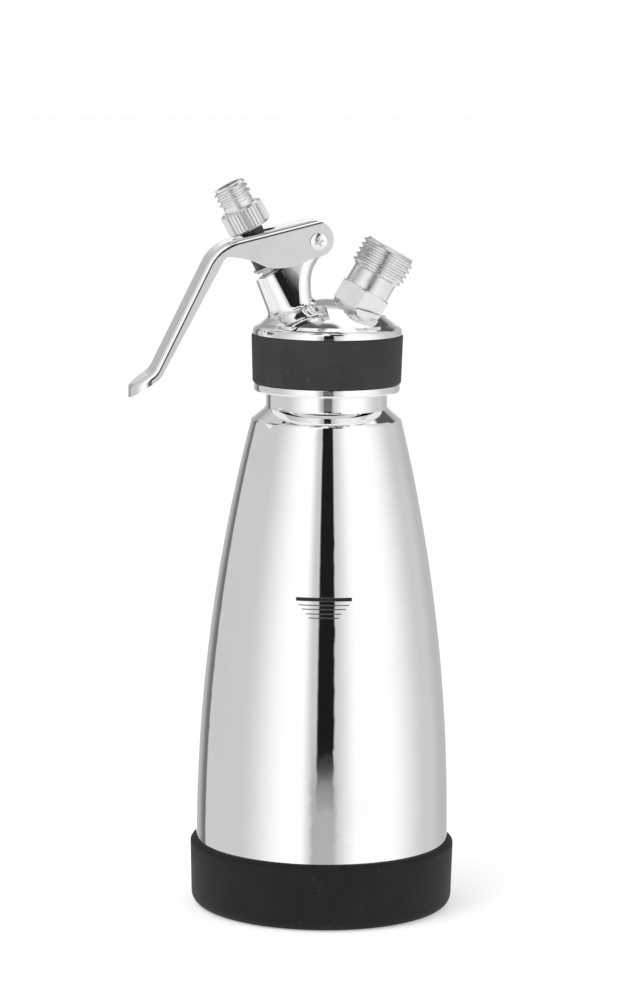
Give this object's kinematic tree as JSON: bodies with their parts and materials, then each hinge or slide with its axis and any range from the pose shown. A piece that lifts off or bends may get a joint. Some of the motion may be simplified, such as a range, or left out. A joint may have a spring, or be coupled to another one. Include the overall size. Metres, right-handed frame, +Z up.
{
  "type": "cream whipper",
  "caption": "Pressurised whipped cream dispenser: round steel bottle with a screw-on head, lever-operated tilted valve, knurled nozzle adapter and threaded gas charger connector.",
  "frame": {"origin": "centre of the boot's flat underside, on the bottle's axis", "axes": "+Z up along the bottle's axis; the lever points to -X and the charger connector to +X; the head is symmetric about the XZ plane and the lever's pivot is along Y"},
  "size_m": [0.1121, 0.09, 0.2483],
  "materials": {
    "polished_steel": "mirror-polished stainless steel",
    "polished_head": "polished, bright",
    "lever_steel": "polished sheet steel",
    "plated_fittings": "bright nickel plating on brass",
    "satin_adapter": "satin",
    "satin_steel": "satin",
    "black_silicone": "matte silicone",
    "grey_silicone": "matte silicone",
    "seal_rubber": "matte",
    "guide_plastic": "smooth white plastic"
  },
  "bodies": {
    "bottle": {"bottle": "polished_steel", "base_boot": "black_silicone"},
    "gasket": {"head_gasket": "seal_rubber"},
    "head": {"head_body": "polished_head", "collar_ring": "grey_silicone", "pivot_bolt": "plated_fittings", "pivot_nut": "plated_fittings", "valve_guide": "guide_plastic", "stem_o_ring": "seal_rubber", "charger_nipple": "plated_fittings", "nipple_washer": "satin_steel", "piercing_pin": "satin_steel", "charger_gasket": "seal_rubber", "check_valve_sleeve": "seal_rubber"},
    "lever": {"lever": "lever_steel"},
    "valve": {"valve_stem": "satin_steel", "stem_seal": "seal_rubber", "stem_clip": "satin_steel", "spring_cap": "satin_steel", "lever_bush": "guide_plastic", "nozzle_adapter": "satin_adapter", "adapter_seal": "seal_rubber", "valve_spring": "satin_steel"}
  },
  "joints": [
    {"name": "head_lift", "type": "slide", "parent": "bottle", "child": "gasket", "axis": [0, 0, 1], "range_m": [0, 0.0105]},
    {"name": "head_turn", "type": "hinge", "parent": "gasket", "child": "head", "pos_m": [0, 0, 0.19], "axis": [0, 0, 1], "range_deg": [0, 1260]},
    {"name": "lever_press", "type": "hinge", "parent": "head", "child": "lever", "pos_m": [-0.0045, 0, 0.2277], "axis": [0, -1, 0], "range_deg": [0, 6.7], "stiffness_Nm_per_rad": 1.7, "springref_deg": -8.59},
    {"name": "stem_slide", "type": "slide", "parent": "head", "child": "valve", "axis": [0.4772, 0, -0.8788], "range_m": [0, 0.00205], "deforming": ["valve_spring"]}
  ],
  "couplings": [
    {"joint": "head_lift", "follows": "head_turn", "m_per_rad": 0.00047746},
    {"joint": "stem_slide", "follows": "lever_press", "m_per_rad": 0.017497}
  ]
}
